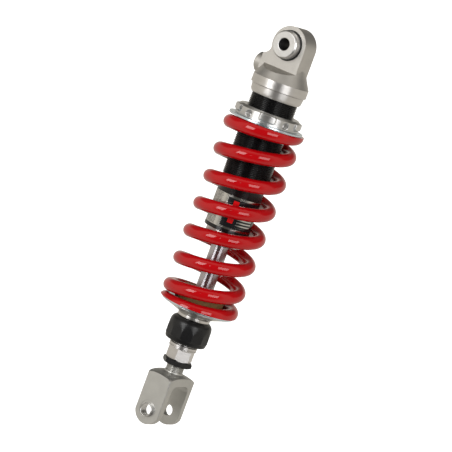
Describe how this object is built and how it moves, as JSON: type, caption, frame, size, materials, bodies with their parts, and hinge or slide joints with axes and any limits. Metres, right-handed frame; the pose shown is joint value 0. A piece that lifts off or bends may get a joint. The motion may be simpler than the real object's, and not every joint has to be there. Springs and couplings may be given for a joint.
{
  "type": "rear shock absorber",
  "caption": "Motorcycle rear shock absorber: coil spring round a threaded damper with preload collar, rebound knob, bearing eye at the top and clevis below.",
  "frame": {"origin": "centre of the upper eye's bore", "axes": "+Y along both mounting bores, +Z from the clevis up to the eye along the rod's axis, -X towards the gas valve"},
  "size_m": [0.0714, 0.0714, 0.3701],
  "materials": {
    "bearing_steel": "ground",
    "spacer_steel": "satin zinc",
    "cap_alloy": "blasted, turned band",
    "black_steel": "phosphated",
    "seal_rubber": "matt",
    "valve_brass": "turned",
    "black_plastic": "matt",
    "body_anodised": "black anodised",
    "band_foil": "plain bright foil",
    "seal_head_alloy": "turned",
    "bush_bronze": "bronze",
    "inner_alloy": "turned",
    "zinc_plate": "blue zinc",
    "collar_alloy": "satin",
    "spring_paint": "gloss powder coat",
    "rod_chrome": "hard chrome",
    "bump_foam": "foamed urethane",
    "seat_alloy": "turned",
    "rod_end_steel": "nickel plated",
    "locknut_black": "black oxide",
    "band_ptfe": "bronze-filled",
    "shim_steel": "spring steel",
    "knob_black": "satin black anodised",
    "clevis_alloy": "satin"
  },
  "bodies": {
    "bearing": {"eye_bearing_ball": "bearing_steel", "eye_spacers": "spacer_steel"},
    "damper": {"top_cap": "cap_alloy", "eye_bearing_race": "bearing_steel", "eye_circlips": "black_steel", "eye_dust_seals": "seal_rubber", "gas_valve": "valve_brass", "gas_valve_cap": "black_plastic", "cap_o_ring": "seal_rubber", "body_lock_ring": "cap_alloy", "damper_body": "body_anodised", "body_band": "band_foil", "body_end_ring": "body_anodised", "seal_head": "seal_head_alloy", "head_circlip": "bearing_steel", "seal_head_o_ring": "seal_rubber", "rod_bush": "bush_bronze", "rod_seal": "seal_rubber", "rod_wiper": "seal_rubber"},
    "floating_piston": {"floating_piston": "inner_alloy", "floating_piston_seal": "seal_rubber"},
    "preload_plate": {"upper_spring_washer": "zinc_plate"},
    "preload_collar": {"preload_collar": "collar_alloy"},
    "rod": {"spring": "spring_paint", "piston_rod": "rod_chrome", "bump_stop": "bump_foam", "lower_spring_seat": "zinc_plate", "lower_seat_collar": "seat_alloy", "seat_support_ring": "seat_alloy", "rod_end": "rod_end_steel", "locknut": "locknut_black", "piston": "inner_alloy", "piston_band": "band_ptfe", "compression_shims": "shim_steel", "rebound_shims": "shim_steel", "piston_nut": "bearing_steel", "top_out_bumper": "seal_rubber", "detent_ball": "bearing_steel", "detent_spring": "bearing_steel", "knob_retaining_ring": "black_steel"},
    "metering": {"metering_rod": "bearing_steel", "adjuster_cross_pin": "bearing_steel"},
    "knob": {"adjuster_knob": "knob_black"},
    "clevis": {"clevis": "clevis_alloy", "clevis_bush": "spacer_steel"}
  },
  "joints": [
    {"name": "upper_swivel", "type": "hinge", "parent": "bearing", "child": "damper", "pos_m": [0, 0, 0], "axis": [0, 1, 0], "range_deg": [-30, 30]},
    {"name": "damper_stroke", "type": "slide", "parent": "damper", "child": "rod", "axis": [0, 0, 1], "range_m": [0, 0.042], "stiffness_N_per_m": 160000, "deforming": ["spring"]},
    {"name": "floating_piston_slide", "type": "slide", "parent": "damper", "child": "floating_piston", "axis": [0, 0, 1], "range_m": [0, 0.0088]},
    {"name": "preload_travel", "type": "slide", "parent": "damper", "child": "preload_plate", "axis": [0, 0, 1], "range_m": [0, 0.0106]},
    {"name": "preload_turn", "type": "hinge", "parent": "preload_plate", "child": "preload_collar", "pos_m": [0, 0, -0.064], "axis": [0, 0, 1], "range_deg": [0, 2520]},
    {"name": "rebound_knob", "type": "hinge", "parent": "rod", "child": "knob", "pos_m": [0, 0, -0.264], "axis": [0, 0, 1], "range_deg": [0, 540]},
    {"name": "metering_slide", "type": "slide", "parent": "rod", "child": "metering", "axis": [0, 0, 1], "range_m": [0, 0.0016]},
    {"name": "length_adjust", "type": "slide", "parent": "rod", "child": "clevis", "axis": [0, 0, 1], "range_m": [-0.004, 0.005]}
  ],
  "couplings": [
    {"joint": "floating_piston_slide", "follows": "damper_stroke", "ratio": 0.19753},
    {"joint": "preload_travel", "follows": "preload_turn", "m_per_rad": 0.00023873},
    {"joint": "metering_slide", "follows": "rebound_knob", "m_per_rad": 0.00015915}
  ]
}
